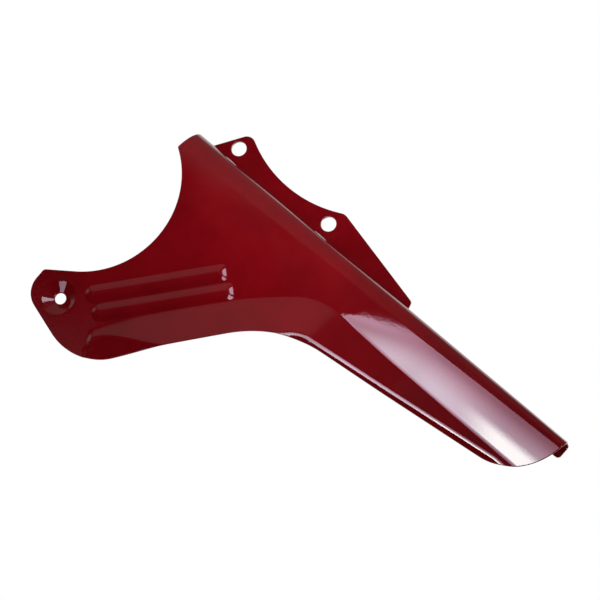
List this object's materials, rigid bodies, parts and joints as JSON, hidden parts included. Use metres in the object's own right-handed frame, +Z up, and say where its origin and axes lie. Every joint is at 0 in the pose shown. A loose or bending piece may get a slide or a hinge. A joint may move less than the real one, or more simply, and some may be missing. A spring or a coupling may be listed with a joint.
{
  "type": "motorcycle chain guard",
  "caption": "Gloss red pressed-steel motorcycle chain guard with a rolled ridge, flared lower flange, beaded tab, dimpled fixing hole and a welded bracket plate.",
  "frame": {"origin": "midpoint of the bracket's bolt holes, on the bracket face that bolts to the machine", "axes": "+X along the ridge towards the rear, +Y inboard along the bracket bolts, +Z up"},
  "size_m": [0.2961, 0.0314, 0.1656],
  "materials": {
    "shell_paint": "gloss dark red stove enamel",
    "bracket_paint": "gloss dark red stove enamel"
  },
  "bodies": {
    "root": {"guard_shell": "shell_paint", "mounting_bracket": "bracket_paint"}
  },
  "joints": []
}
